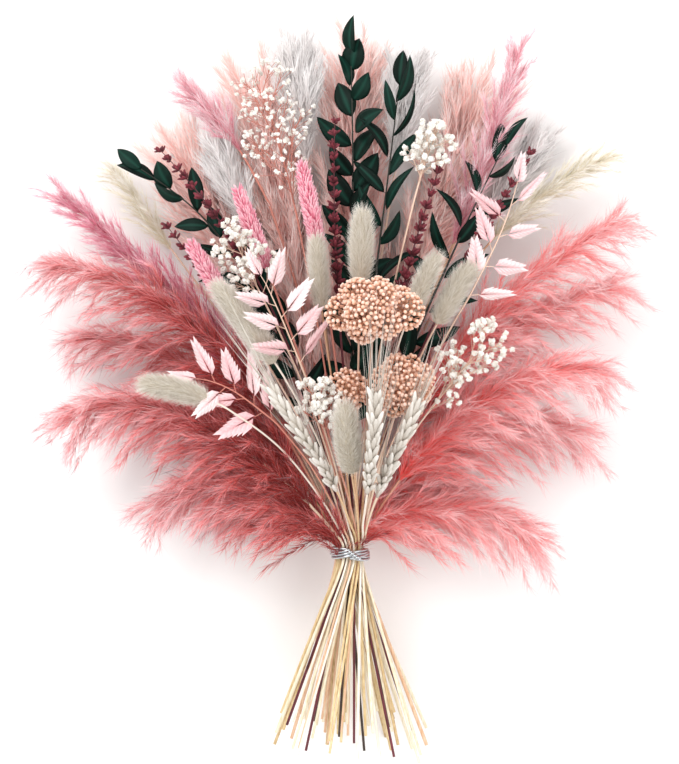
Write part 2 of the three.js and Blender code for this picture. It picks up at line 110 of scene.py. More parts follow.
def hair_material(name, stops, strand_shade, strand_shade_share, core_shade=0.0):
    """Dyed dried grass hair: matt with a faint silk. Its colour is painted deep by the stalk and pale at the
    tips of the hairs, a painted shade inside the plume and a painted highlight at its fringe, painted deeper
    still where the plume starts, a painted shade towards the middle of the bundle, and a few strands are
    painted grey-mauve towards the branch tips, a painted shade among the hairs."""
    material, tree, shader = finish(name, 0.75, Sheen_Weight=0.3, Sheen_Roughness=0.5, IOR=1.45)
    depth = add(tree, "ShaderNodeAttribute", attribute_name="depth")
    along = add(tree, "ShaderNodeAttribute", attribute_name="along")
    strand = add(tree, "ShaderNodeAttribute", attribute_name="strand")
    share = add(tree, "ShaderNodeAttribute", attribute_name="share")
    # Painted shade and highlight: deeper by the stalk, at the hair roots and where the plume starts, paler at
    # the hair tips.
    out = add(tree, "ShaderNodeMath", {0: depth.outputs["Fac"], 1: 0.36}, operation="MULTIPLY")
    out = add(tree, "ShaderNodeMath", {0: along.outputs["Fac"], 1: 0.46, 2: out}, operation="MULTIPLY_ADD")
    out = add(tree, "ShaderNodeMath", {0: strand.outputs["Fac"], 1: 0.34, 2: out}, operation="MULTIPLY_ADD")
    out = add(tree, "ShaderNodeMath", {0: share.outputs["Fac"], 1: core_shade, 2: out}, operation="MULTIPLY_ADD")
    out = add(tree, "ShaderNodeMath", {0: out, 1: 0.1 + 0.6 * core_shade}, operation="SUBTRACT", use_clamp=True)
    dyed = add(tree, "ShaderNodeValToRGB", {0: out}, stops=stops)
    # Painted shade: a few strands, more of them towards the tips of the side branches, are mixed to a
    # grey-mauve.
    shaded_strands = add(tree, "ShaderNodeMath", {0: strand.outputs["Fac"], 1: strand_shade_share}, operation="LESS_THAN")
    shaded_strands = add(tree, "ShaderNodeMath", {0: shaded_strands, 1: depth.outputs["Fac"]}, operation="MULTIPLY")
    colour = add(tree, "ShaderNodeMix", {0: shaded_strands, 6: dyed, 7: linear(strand_shade)}, data_type="RGBA")
    tree.links.new(colour.outputs[2], shader.inputs["Base Color"])
    return material


def straw_material(name, pale, deep, dye, dye_share):
    """Dried grass straw: hard, smooth, slightly waxy, streaked along its length, and dyed above the tie."""
    material, tree, shader = finish(name, 0.42, IOR=1.5)
    place = add(tree, "ShaderNodeTexCoord")
    streaks = add(tree, "ShaderNodeMapping", {0: place.outputs["Object"], 3: (900, 40, 900)})
    grain = add(tree, "ShaderNodeTexNoise", {"Vector": streaks, "Scale": 1.0, "Detail": 3.0})
    colour = add(tree, "ShaderNodeValToRGB", {0: grain}, stops=[(0.3, deep), (0.7, pale)])
    height = add(tree, "ShaderNodeSeparateXYZ", {0: place.outputs["Object"]})
    above = add(
        tree, "ShaderNodeMapRange",
        {0: height.outputs["Y"], 1: TIE.y - 10 * MM, 2: TIE.y + 70 * MM, 3: 0.0, 4: dye_share},
    )
    dyed = add(tree, "ShaderNodeMix", {0: above, 6: colour, 7: linear(dye)}, data_type="RGBA")
    tree.links.new(dyed.outputs[2], shader.inputs["Base Color"])
    bump = add(tree, "ShaderNodeBump", {"Height": grain, "Strength": 0.25, "Distance": 0.1 * MM})
    tree.links.new(bump.outputs[0], shader.inputs["Normal"])
    return material


def husk_material(name, stops, roughness, **constants):
    """A dry papery skin, as of a bud, husk or petal. Its colour drifts from bud to bud and base to tip."""
    material, tree, shader = finish(name, roughness, **constants)
    place = add(tree, "ShaderNodeTexCoord")
    grain = add(tree, "ShaderNodeTexNoise", {"Vector": place.outputs["Object"], "Scale": 1 / (1.2 * MM)})
    along = add(tree, "ShaderNodeAttribute", attribute_name="along")
    strand = add(tree, "ShaderNodeAttribute", attribute_name="strand")
    mixed = add(tree, "ShaderNodeMath", {0: strand.outputs["Fac"], 1: 0.35}, operation="MULTIPLY")
    mixed = add(tree, "ShaderNodeMath", {0: along.outputs["Fac"], 1: 0.5, 2: mixed}, operation="MULTIPLY_ADD")
    mixed = add(tree, "ShaderNodeMath", {0: grain, 1: 0.3, 2: mixed}, operation="MULTIPLY_ADD")
    colour = add(tree, "ShaderNodeValToRGB", {0: mixed}, stops=stops)
    tree.links.new(colour.outputs[0], shader.inputs["Base Color"])
    bump = add(tree, "ShaderNodeBump", {"Height": grain, "Strength": 0.3, "Distance": 0.2 * MM})
    tree.links.new(bump.outputs[0], shader.inputs["Normal"])
    return material


def leaf_material():
    """A leaf preserved in glycerine: very dark green, leathery, with a soft gloss and a painted highlight
    down its midrib.
    """
    material, tree, shader = finish("Preserved ruscus leaf", 0.55, IOR=1.45, Specular_IOR_Level=0.15)
    place = add(tree, "ShaderNodeTexCoord")
    rib_highlight = add(tree, "ShaderNodeAttribute", attribute_name="rib_highlight")
    strand = add(tree, "ShaderNodeAttribute", attribute_name="strand")
    grain = add(
        tree, "ShaderNodeTexNoise", {"Vector": place.outputs["Object"], "Scale": 120.0, "Detail": 4.0})
    mixed = add(tree, "ShaderNodeMath", {0: strand.outputs["Fac"], 1: 0.5}, operation="MULTIPLY")
    mixed = add(tree, "ShaderNodeMath", {0: grain, 1: 0.6, 2: mixed}, operation="MULTIPLY_ADD")
    colour = add(
        tree, "ShaderNodeValToRGB", {0: mixed}, stops=[(0.2, "030f0b"), (0.6, "051b14"), (0.95, "0e3229")])
    # Painted highlight: a paler band down the middle of the leaf.
    rib_highlighted = add(
        tree, "ShaderNodeMix", {0: rib_highlight.outputs["Fac"], 6: colour, 7: linear("153d32")}, data_type="RGBA")
    tree.links.new(rib_highlighted.outputs[2], shader.inputs["Base Color"])
    bump = add(tree, "ShaderNodeBump", {"Height": grain, "Strength": 0.15, "Distance": 0.3 * MM})
    tree.links.new(bump.outputs[0], shader.inputs["Normal"])
    return material


# The dyes below run from a plume's deep middle, painted as shade, to the tips of its hairs, painted as
# highlight.
HAIR = {
    "coral_left": hair_material(
        "Coral pampas hair",
        [(0.0, "94180f"), (0.13, "c83a33"), (0.32, "e67674"), (0.56, "f5adaf"), (0.86, "fde6e8")],
        "9c8086", 0.07, 0.6),
    "coral_right": hair_material(
        "Bright coral pampas hair",
        [(0.0, "ff4a42"), (0.12, "ff7d79"), (0.32, "ffa8a7"), (0.58, "ffcdce"), (0.88, "fff4f4")],
        "d6b2b6", 0.05, 0.25),
    "rose_left": hair_material(
        "Rose pampas hair",
        [(0.0, "932427"), (0.14, "c6405e"), (0.34, "e0768f"), (0.58, "f2b0bf"), (0.85, "fde8ec")],
        "c4a4ae", 0.06, 0.45),
    "rose_pale": hair_material(
        "Pale rose pampas hair",
        [(0.05, "d86a82"), (0.25, "f0a0ae"), (0.5, "f9cdd4"), (0.8, "fff4f6")], "d8c4ca", 0.06),
    "blush_plume": hair_material(
        "Blush pampas hair",
        [(0.0, "ffb1a8"), (0.15, "ffc1b9"), (0.38, "ffd2ca"), (0.75, "ffeae5")], "f6e8e4", 0.06, 0.1),
    "pearl_plume": hair_material(
        "Pearl-grey pampas hair",
        [(0.05, "ded6d4"), (0.3, "ebe5e3"), (0.6, "f5f1f0"), (0.9, "fdfbfa")], "dcd6d6", 0.08),
    "cream_plume": hair_material(
        "Undyed pampas hair",
        [(0.05, "e0d4b4"), (0.3, "f0e8d4"), (0.55, "faf6ec"), (0.85, "fffefa")], "dccfb4", 0.06),
    "bunny_tail": hair_material(
        "Bleached hare's-tail down",
        [(0.02, "cabfac"), (0.2, "ded6c8"), (0.42, "efeae1"), (0.7, "fbf8f3")], "f4eee4", 0.0),
}
STRAW = {
    "golden": straw_material("Golden straw", "efdbae", "cfae76", "c98f78", 0.7),
    "pale": straw_material("Bleached straw", "f8f0dc", "e0d0ac", "dcae9c", 0.65),
    "tan": straw_material("Tan straw", "dcc294", "ab8857", "a56f5c", 0.8),
    "pink": straw_material("Pink-dyed straw", "edcdae", "d8a680", "cf7f72", 0.9),
    "burgundy": straw_material("Burgundy-dyed stem", "7a2a38", "4a1520", "5a1a28", 1.0),
    "dark": straw_material("Dark woody stem", "4a3528", "241711", "22251c", 1.0),
    "white": straw_material("Bleached stem", "faf5ea", "eadfc8", "f0e4d6", 1.0),
}
BUD = {
    "pink_spike": husk_material(
        "Hot-pink dyed bracts", [(0.1, "cc4068"), (0.45, "ec86a0"), (0.85, "fdd0d9")], 0.75,
        Sheen_Weight=0.3),
    "barley_ear": husk_material(
        "Bleached barley husk", [(0.1, "7c7166"), (0.45, "c4bbaf"), (0.95, "ece7e0")], 0.5),
    "lavender": husk_material(
        "Burgundy-dyed lavender bud", [(0.1, "25080e"), (0.5, "571722"), (0.95, "8c3441")], 0.7),
    "rice_flower": husk_material(
        "Peach-dyed rice flower bud", [(0.15, "a9623f"), (0.5, "e8b394"), (0.95, "ffe4d6")], 0.6),
    "baby_breath": husk_material(
        "Dried white petal", [(0.1, "e6e0d6"), (0.5, "f6f3ee"), (0.9, "fffefb")], 0.8),
    "oat_spray": husk_material(
        "Pale-pink dyed oat husk", [(0.1, "dd9aa0"), (0.5, "f1c6c9"), (0.95, "fdf0ef")], 0.6),
}
LEAF = leaf_material()


# ---- The curve of each stem ----

def rings_of(node):
    """The middle and radius of each ring of a stem's solid from the cut end on, and its head's points."""
    solid = bmesh.new()
    solid.from_mesh(NODES[node].data)
    bmesh.ops.remove_doubles(solid, verts=solid.verts, dist=0.01 * MM)
    lowest = min(solid.verts, key=lambda vertex: vertex.co.y)
    ring = {vertex for vertex in solid.verts if (vertex.co - lowest.co).length < 5 * MM}
    seen = set(ring)
    rings = []
    while ring:
        middle = sum((vertex.co for vertex in ring), Vector()) / len(ring)
        rings.append((middle, max((vertex.co - middle).length for vertex in ring)))
        if len(rings) == STEM_RINGS:
            head = [vertex.co.copy() for vertex in solid.verts if vertex not in seen]
        ring = {edge.other_vert(vertex) for vertex in ring for edge in vertex.link_edges} - seen
        seen |= ring
    solid.free()
    return rings, head


def smoothed(points, sizes):
    """Points at even steps along a smooth curve through the given ones, each with its size."""
    ways = []
    for n in range(len(points)):
        ways.append((points[min(n + 1, len(points) - 1)] - points[max(n - 1, 0)]).normalized())
    made = [(points[0], sizes[0])]
    for n in range(len(points) - 1):
        reach = (points[n + 1] - points[n]).length
        count = max(2, round(reach / LINE_STEP))
        a, b = points[n], points[n] + ways[n] * reach / 3
        c, d = points[n + 1] - ways[n + 1] * reach / 3, points[n + 1]
        for k in range(1, count + 1):
            t = k / count
            place = a * (1 - t) ** 3 + b * 3 * t * (1 - t) ** 2 + c * 3 * t * t * (1 - t) + d * t ** 3
            made.append((place, sizes[n] * (1 - t) + sizes[n + 1] * t))
    return made


def stem_of(node, branched):
    """The stem's line as an edge mesh with its thickness, the lengths of stem and head, and the head's half
    width. A branched head has no rings of its own, so its line bends to the farthest point of the head."""
    rings, head = rings_of(node)
    points = [middle for middle, _ in rings[:STEM_RINGS]]
    sizes = [rings[1][1], *[radius for _, radius in rings[1:STEM_RINGS]]]
    base = points[-1]
    if branched:
        tip = max(head, key=lambda co: (co - base).length)
        way = (base - points[-2]).normalized()
        bend = base + way * (tip - base).length / 2
        points += [base.lerp(bend, 0.5).lerp(bend.lerp(tip, 0.5), 0.5), tip]
        axis = (tip - base).normalized()
        half = max(((co - base) - axis * axis.dot(co - base)).length for co in head)
    else:
        points += [middle for middle, _ in rings[STEM_RINGS:-1]]
        half = max(radius for _, radius in rings[STEM_RINGS:-1])
    count = len(points) - STEM_RINGS
    sizes += [sizes[-1] * (1 - 0.7 * (n + 1) / count) for n in range(count)]
    line = smoothed(points, sizes)
    below = len(smoothed(points[:STEM_RINGS], sizes)) - 1
    lengths = [0.0]
    for (a, _), (b, _) in zip(line, line[1:]):
        lengths.append(lengths[-1] + (b - a).length)
    mesh = bpy.data.meshes.new(node + "_line")
    mesh.from_pydata([place for place, _ in line], [(n, n + 1) for n in range(len(line) - 1)], [])
    thick = mesh.attributes.new("thick", "FLOAT", "POINT")
    for n, (_, size) in enumerate(line):
        thick.data[n].value = size
    return mesh, lengths[below], lengths[-1] - lengths[below], half


# ---- Parts that the trees share ----

SOCKETS = {float: "Float", int: "Int", tuple: "Vector", type(None): "Material", str: "Object"}


def plant_tree(name, sizes):
    """A tree that starts from a stem's line and has these named sizes. It gives the sizes, the seeds for its
    random choices, the whole line and the head's part of it."""
    tree = bpy.data.node_groups.new(name, "GeometryNodeTree")
    tree.interface.new_socket("Line", in_out="INPUT", socket_type="NodeSocketGeometry")
    common = {"Head Start": 0.5, "Head End": 1.0, "Seed": 0, "Straw": None, "Finish": None}
    for label, value in {**common, **sizes}.items():
        sort = "NodeSocket" + SOCKETS[type(value)]
        socket = tree.interface.new_socket(label, in_out="INPUT", socket_type=sort)
        if type(value) in (float, int, tuple):
            socket.default_value = value
    tree.interface.new_socket("Plant", in_out="OUTPUT", socket_type="NodeSocketGeometry")
    size = add(tree, "NodeGroupInput").outputs
    curve = add(tree, "GeometryNodeMeshToCurve", {0: size["Line"]})
    head = add(tree, "GeometryNodeTrimCurve", {0: curve, 2: size["Head Start"], 3: size["Head End"]})
    head = add(tree, "GeometryNodeResampleCurve", {0: head, 2: 40})
    share = add(tree, "GeometryNodeSplineParameter")
    head = add(tree, "GeometryNodeStoreNamedAttribute", {0: head, "Name": "share", "Value": share})
    return tree, size, seeds_of(tree, size), curve, head


def seeds_of(tree, size):
    """A new seed for each random choice in a tree, all of them from the stem's own seed."""
    number = 0.0
    while True:
        number += 1.0
        yield add(tree, "ShaderNodeMath", {0: size["Seed"], 1: number})


def tube(tree, curve, radius, sides, material):
    """A closed tube along curves. Its radius may change along them."""
    ring = add(tree, "GeometryNodeCurvePrimitiveCircle", {"Resolution": sides, "Radius": 1.0})
    wall = add(tree, "GeometryNodeCurveToMesh", {0: curve, 1: ring, "Scale": radius, "Fill Caps": True})
    return add(tree, "GeometryNodeSetMaterial", {0: wall, "Material": material})


def straw(tree, size, curve):
    """The bare stem, from its cut end to the tip of the head."""
    thick = add(tree, "GeometryNodeInputNamedAttribute", {0: "thick"})
    whole = add(tree, "GeometryNodeTrimCurve", {0: curve, 3: size["Head End"]})
    return tube(tree, whole, thick, 8, size["Straw"])


def tapered(tree, base, factor, tip_share):
    """A size that shrinks from its full value to a share of it as the factor goes from 0 to 1."""
    share = add(tree, "ShaderNodeMapRange", {0: factor, 3: 1.0, 4: tip_share})
    return add(tree, "ShaderNodeMath", {0: base, 1: share}, operation="MULTIPLY")


def side_branches(tree, seed, line, count, length, tip_share, spread, droop, points=9):
    """Curves that leave a line all round it, lean forward, shorten towards its tip and arch over."""
    roots = add(tree, "GeometryNodeCurveToPoints", {0: line, 1: count})
    share = add(tree, "GeometryNodeInputNamedAttribute", {0: "share"})
    number = add(tree, "GeometryNodeInputIndex")
    lean = add(tree, "FunctionNodeRandomValue", {2: 0.5, 3: 1.5, "Seed": next(seed)})
    lean = add(tree, "ShaderNodeMath", {0: spread, 1: lean}, operation="MULTIPLY")
    turn = add(tree, "FunctionNodeRandomValue", {2: -0.8, 3: 0.8, "Seed": next(seed)})
    turn = add(tree, "ShaderNodeMath", {0: number, 1: GOLDEN_ANGLE, 2: turn}, operation="MULTIPLY_ADD")
    angles = add(tree, "ShaderNodeCombineXYZ", {0: lean, 2: turn})
    euler = add(tree, "FunctionNodeEulerToRotation", {0: angles})
    rotation = add(
        tree, "FunctionNodeRotateRotation", {0: roots.outputs["Rotation"], 1: euler}, rotation_space="LOCAL")
    reach = tapered(tree, length, share, tip_share)
    some = add(tree, "FunctionNodeRandomValue", {2: 0.65, 3: 1.15, "Seed": next(seed)})
    reach = add(tree, "ShaderNodeMath", {0: reach, 1: some}, operation="MULTIPLY")
    twig = add(tree, "GeometryNodeCurvePrimitiveLine", {0: (0, 0, 0), 1: (0, 0, 1)})
    twig = add(tree, "GeometryNodeResampleCurve", {0: twig, 2: points})
    made = add(tree, "GeometryNodeInstanceOnPoints", {0: roots, 2: twig, 5: rotation, 6: reach})
    made = add(tree, "GeometryNodeRealizeInstances", {0: made})
    out = add(tree, "GeometryNodeSplineParameter")
    made = add(tree, "GeometryNodeStoreNamedAttribute", {0: made, "Name": "depth", "Value": out})
    far = add(tree, "GeometryNodeSplineLength")
    sag = add(tree, "ShaderNodeMath", {0: out, 1: 2.0}, operation="POWER")
    sag = add(tree, "ShaderNodeMath", {0: sag, 1: far}, operation="MULTIPLY")
    sag = add(tree, "ShaderNodeVectorMath", {0: droop, "Scale": sag}, operation="SCALE")
    return add(tree, "GeometryNodeSetPosition", {0: made, "Offset": sag})


def wavy(tree, item, wave_length, amount):
    """Bends what has grown by a smooth noise, so that nothing in it is dead straight."""
    noise = add(tree, "ShaderNodeTexNoise", {"Scale": 1 / wave_length, "Detail": 1.0})
    shift = add(
        tree, "ShaderNodeVectorMath", {0: noise.outputs["Color"], 1: (0.5, 0.5, 0.5)}, operation="SUBTRACT")
    shift = add(tree, "ShaderNodeVectorMath", {0: shift, "Scale": amount}, operation="SCALE")
    return add(tree, "GeometryNodeSetPosition", {0: item, "Offset": shift})


def along_z(tree, item):
    """Stores how far along +Z each point of an item of length 1 is."""
    height = add(tree, "ShaderNodeSeparateXYZ", {0: add(tree, "GeometryNodeInputPosition")})
    return add(
        tree, "GeometryNodeStoreNamedAttribute", {0: item, "Name": "along", "Value": height.outputs["Z"]})


def spike(tree):
    """One hair of length 1 and width 1, along +Z from its root."""
    return along_z(tree, add(
        tree, "GeometryNodeMeshCone",
        {"Vertices": 3, "Side Segments": 1, "Radius Top": 0.0, "Radius Bottom": 0.5, "Depth": 1.0}))


def spindle(tree, segments=6, rings=5):
    """One bud or husk of length 1 and width 1, along +Z from its root."""
    ball = add(tree, "GeometryNodeMeshUVSphere", {"Segments": segments, "Rings": rings, "Radius": 0.5})
    ball = add(tree, "GeometryNodeTransform", {0: ball, 1: (0, 0, 0.5)})
    return along_z(tree, ball)


def stand(tree, seed, points, rotation, item, length, width, material, short=0.65):
    """Sets an item on each point, turned and stretched to its length and width."""
    tint = add(tree, "FunctionNodeRandomValue", {2: 0.0, 3: 1.0, "Seed": next(seed)})
    tinted = add(tree, "GeometryNodeStoreNamedAttribute", {0: points, "Name": "strand", "Value": tint})
    some = add(tree, "FunctionNodeRandomValue", {2: short, 3: 1.1, "Seed": next(seed)})
    long = add(tree, "ShaderNodeMath", {0: length, 1: some}, operation="MULTIPLY")
    scale = add(tree, "ShaderNodeCombineXYZ", {0: width, 1: width, 2: long})
    made = add(tree, "GeometryNodeInstanceOnPoints", {0: tinted, 2: item, 5: rotation, 6: scale})
    made = add(tree, "GeometryNodeRealizeInstances", {0: made})
    return add(tree, "GeometryNodeSetMaterial", {0: made, "Material": material})


def leaned(tree, seed, rotation, least, most):
    """A rotation turned at random about its own Z, and leaned away from it."""
    lean = add(tree, "FunctionNodeRandomValue", {2: least, 3: most, "Seed": next(seed)})
    turn = add(tree, "FunctionNodeRandomValue", {2: 0.0, 3: 2 * pi, "Seed": next(seed)})
    angles = add(tree, "ShaderNodeCombineXYZ", {0: lean, 2: turn})
    euler = add(tree, "FunctionNodeEulerToRotation", {0: angles})
    return add(tree, "FunctionNodeRotateRotation", {0: rotation, 1: euler}, rotation_space="LOCAL")


def hairs_along(tree, seed, curves, spacing, length, width, least, most, material):
    """Hairs all along some curves, each leaning forward along its curve."""
    points = add(tree, "GeometryNodeCurveToPoints", {0: curves, 2: spacing}, mode="LENGTH")
    rotation = leaned(tree, seed, points.outputs["Rotation"], least, most)
    return stand(tree, seed, points, rotation, spike(tree), length, width, material)


def joined(tree, parts):
    """The parts as one, in their order."""
    whole = add(tree, "GeometryNodeJoinGeometry")
    for part in reversed(parts):
        tree.links.new(part.outputs[0], whole.inputs[0])
    return whole


def bedded(tree, item):
    """Presses what would hang below the table, or less than the bed's depth above it, into that bed."""
    place = add(tree, "ShaderNodeSeparateXYZ", {0: add(tree, "GeometryNodeInputPosition")})
    high = add(tree, "ShaderNodeMath", {0: place.outputs["Z"], 1: BED_DEPTH}, operation="MAXIMUM")
    below = add(tree, "ShaderNodeMath", {0: high, 1: place.outputs["Z"]}, operation="SUBTRACT")
    below = add(tree, "ShaderNodeMath", {0: below, 1: BED_DEPTH})
    pressed = add(tree, "ShaderNodeMath", {0: BED_DEPTH ** 2, 1: below}, operation="DIVIDE")
    high = add(tree, "ShaderNodeMath", {0: high, 1: BED_DEPTH}, operation="SUBTRACT")
    high = add(tree, "ShaderNodeMath", {0: high, 1: pressed})
    place = add(tree, "ShaderNodeCombineXYZ", {0: place.outputs["X"], 1: place.outputs["Y"], 2: high})
    return add(tree, "GeometryNodeSetPosition", {0: item, "Position": place})


def finished(tree, stem, parts):
    """Ends the tree with the bare stem, which is too stiff to be bedded, and all that grows on it."""
    whole = joined(tree, [stem, bedded(tree, joined(tree, parts))])
    whole = add(tree, "GeometryNodeRealizeInstances", {0: whole})
    out = add(tree, "NodeGroupOutput")
    tree.links.new(whole.outputs[0], out.inputs[0])
    return tree


# ---- A tree for each kind of plant ----

def plume_tree():
    """A pampas plume: many side branches that arch away from the stem, lined with silky, frizzy hairs."""
    tree, size, seed, curve, head = plant_tree("Pampas plume", {
        "Branches": 70, "Branch Length": 0.05, "Tip Share": 0.45, "Spread": 0.45, "Droop": (0.0, -0.4, 0.0),
        "Wave": 0.02, "Hair Length": 0.012, "Hair Width": 0.0002, "Hair Spacing": 0.0004, "Hair Lean": 0.45,
        "Frizz": 0.004,
    })
    branches = side_branches(
        tree, seed, head, size["Branches"], size["Branch Length"], size["Tip Share"], size["Spread"],
        size["Droop"])
    out = add(tree, "GeometryNodeInputNamedAttribute", {0: "depth"})
    bend = add(tree, "ShaderNodeMath", {0: out, 1: size["Wave"]}, operation="MULTIPLY")
    branches = wavy(tree, branches, 30 * MM, bend)
    stalks = tube(tree, branches, tapered(tree, 0.22 * MM, out, 0.3), 3, size["Finish"])
    outer = hairs_along(
        tree, seed, branches, size["Hair Spacing"], size["Hair Length"], size["Hair Width"], radians(5),
        size["Hair Lean"], size["Finish"])
    inner_length = add(tree, "ShaderNodeMath", {0: size["Branch Length"], 1: 0.45}, operation="MULTIPLY")
    inner = hairs_along(
        tree, seed, head, 0.14 * MM, inner_length, 0.3 * MM, radians(10), radians(40), size["Finish"])
    hairs = [wavy(tree, some, 4 * MM, size["Frizz"]) for some in (inner, outer)]
    return finished(tree, straw(tree, size, curve), [stalks, *hairs])


def body_of(tree, size, head, profile):
    """The solid middle of a dense head, as wide along it as the profile's (share, width) pairs say."""
    share = add(tree, "GeometryNodeInputNamedAttribute", {0: "share"})
    width = add(tree, "ShaderNodeFloatCurve", {1: share})
    points = width.mapping.curves[0].points
    points[0].location, points[1].location = profile[0], profile[-1]
    for place in profile[1:-1]:
        points.new(*place)
    width.mapping.update()
    radius = add(tree, "ShaderNodeMath", {0: size["Half Width"], 1: size["Body Share"]}, operation="MULTIPLY")
    radius = add(tree, "ShaderNodeMath", {0: radius, 1: width}, operation="MULTIPLY")
    ahead = add(tree, "GeometryNodeInputTangent")
    line = add(
        tree, "GeometryNodeStoreNamedAttribute", {0: head, "Name": "ahead", "Value": ahead},
        data_type="FLOAT_VECTOR")
    line = add(tree, "GeometryNodeStoreNamedAttribute", {0: line, "Name": "along", "Value": 0.3})
    return tube(tree, line, radius, 10, size["Finish"])


def coat(tree, size, seed, body, item, density, length, width, forward, stray=0.25):
    """Items that stand all over a body and lean towards its tip."""
    points = add(
        tree, "GeometryNodeDistributePointsOnFaces", {0: body, "Density": density, "Seed": next(seed)})
    ahead = add(tree, "GeometryNodeInputNamedAttribute", {0: "ahead"}, data_type="FLOAT_VECTOR")
    ahead = add(tree, "ShaderNodeVectorMath", {0: ahead, "Scale": forward}, operation="SCALE")
    way = add(tree, "ShaderNodeVectorMath", {0: points.outputs["Normal"], 1: ahead})
    astray = add(
        tree, "FunctionNodeRandomValue", {0: [-stray] * 3, 1: [stray] * 3, "Seed": next(seed)},
        data_type="FLOAT_VECTOR")
    way = add(tree, "ShaderNodeVectorMath", {0: way, 1: astray})
    rotation = add(tree, "FunctionNodeAlignRotationToVector", {"Vector": way})
    return stand(tree, seed, points, rotation, item, length, width, size["Finish"])


def hare_tail_tree():
    """A hare's tail: an egg-shaped head under a coat of fine down that points to its tip."""
    tree, size, seed, curve, head = plant_tree("Hare's tail", {
        "Half Width": 0.008, "Body Share": 0.6, "Down Length": 0.007, "Down Width": 0.0002, "Density": 3.6e6,
    })
    body = body_of(tree, size, head, [(0, 0.3), (0.1, 0.75), (0.38, 1.0), (0.75, 0.9), (0.93, 0.6), (1, 0.2)])
    down = coat(
        tree, size, seed, body, spike(tree), size["Density"], size["Down Length"], size["Down Width"],
        1.3, 0.4)
    return finished(tree, straw(tree, size, curve), [body, wavy(tree, down, 3 * MM, 1.6 * MM)])


def bract_spike_tree():
    """A bristly spike: overlapping narrow bracts and finer bristles between them."""
    tree, size, seed, curve, head = plant_tree("Bract spike", {
        "Half Width": 0.0055, "Body Share": 0.5, "Bract Length": 0.0052, "Bract Width": 0.00085,
        "Density": 1.1e6,
    })
    body = body_of(tree, size, head, [(0, 0.4), (0.12, 0.85), (0.4, 1.0), (0.75, 0.8), (1, 0.2)])
    bracts = coat(
        tree, size, seed, body, spindle(tree), size["Density"], size["Bract Length"], size["Bract Width"],
        1.5)
    bristles = coat(
        tree, size, seed, body, spike(tree), 1.6e6, size["Bract Length"], 0.2 * MM, 1.2)
    return finished(tree, straw(tree, size, curve), [body, bracts, bristles])


def lavender_tree():
    """A lavender spike: whorls of small pointed buds, set apart along the stem."""
    tree, size, seed, curve, head = plant_tree("Lavender spike", {
        "Whorl Spacing": 0.0068, "Buds": 13, "Bud Length": 0.0066, "Bud Width": 0.0022,
    })
    whorls = add(tree, "GeometryNodeCurveToPoints", {0: head, 2: size["Whorl Spacing"]}, mode="LENGTH")
    turn = add(
        tree, "GeometryNodeStoreNamedAttribute",
        {0: whorls, "Name": "turn", "Value": whorls.outputs["Rotation"]}, data_type="QUATERNION")
    buds = add(tree, "GeometryNodeDuplicateElements", {0: turn, "Amount": size["Buds"]})
    turn = add(tree, "GeometryNodeInputNamedAttribute", {0: "turn"}, data_type="QUATERNION")
    rise = add(tree, "FunctionNodeRandomValue", {2: -1.3 * MM, 3: 1.3 * MM, "Seed": next(seed)})
    rise = add(tree, "ShaderNodeCombineXYZ", {2: rise})
    rise = add(tree, "FunctionNodeRotateVector", {0: rise, 1: turn})
    buds = add(tree, "GeometryNodeSetPosition", {0: buds, "Offset": rise})
    rotation = leaned(tree, seed, turn, radians(20), radians(72))
    share = add(tree, "GeometryNodeInputNamedAttribute", {0: "share"})
    long = tapered(tree, size["Bud Length"], share, 0.6)
    wide = tapered(tree, size["Bud Width"], share, 0.65)
    buds = stand(tree, seed, buds, rotation, spindle(tree), long, wide, size["Finish"])
    return finished(tree, straw(tree, size, curve), [buds])


def barley_tree():
    """A barley ear: rows of pointed kernels, each drawn out into a long fine awn."""
    tree, size, seed, curve, head = plant_tree("Barley ear", {
        "Kernels": 58, "Kernel Length": 0.013, "Kernel Width": 0.0028, "Awn Length": 0.075,
        "Awn Width": 0.00055,
    })
    roots = add(tree, "GeometryNodeCurveToPoints", {0: head, 1: size["Kernels"]})
    number = add(tree, "GeometryNodeInputIndex")
    some = add(tree, "FunctionNodeRandomValue", {2: -0.3, 3: 0.3, "Seed": next(seed)})
    turn = add(tree, "ShaderNodeMath", {0: number, 1: GOLDEN_ANGLE, 2: some}, operation="MULTIPLY_ADD")
    lean = add(tree, "FunctionNodeRandomValue", {2: 0.2, 3: 0.42, "Seed": next(seed)})
    angles = add(tree, "ShaderNodeCombineXYZ", {0: lean, 2: turn})
    euler = add(tree, "FunctionNodeEulerToRotation", {0: angles})
    rotation = add(
        tree, "FunctionNodeRotateRotation", {0: roots.outputs["Rotation"], 1: euler}, rotation_space="LOCAL")
    kernels = stand(
        tree, seed, roots, rotation, spindle(tree, 6, 6), size["Kernel Length"], size["Kernel Width"],
        size["Finish"], 0.85)
    flat = add(
        tree, "ShaderNodeVectorMath", {0: roots.outputs["Tangent"], 1: (1, 1, 0.25)}, operation="MULTIPLY")
    astray = add(
        tree, "FunctionNodeRandomValue", {0: (-0.16, -0.1, -0.1), 1: (0.16, 0.1, 0.1), "Seed": next(seed)},
        data_type="FLOAT_VECTOR")
    way = add(tree, "ShaderNodeVectorMath", {0: flat, 1: astray})
    rotation = add(tree, "FunctionNodeAlignRotationToVector", {"Vector": way})
    awns = stand(
        tree, seed, roots, rotation, spike(tree), size["Awn Length"], size["Awn Width"], size["Finish"], 0.7)
    return finished(tree, straw(tree, size, curve), [kernels, awns])


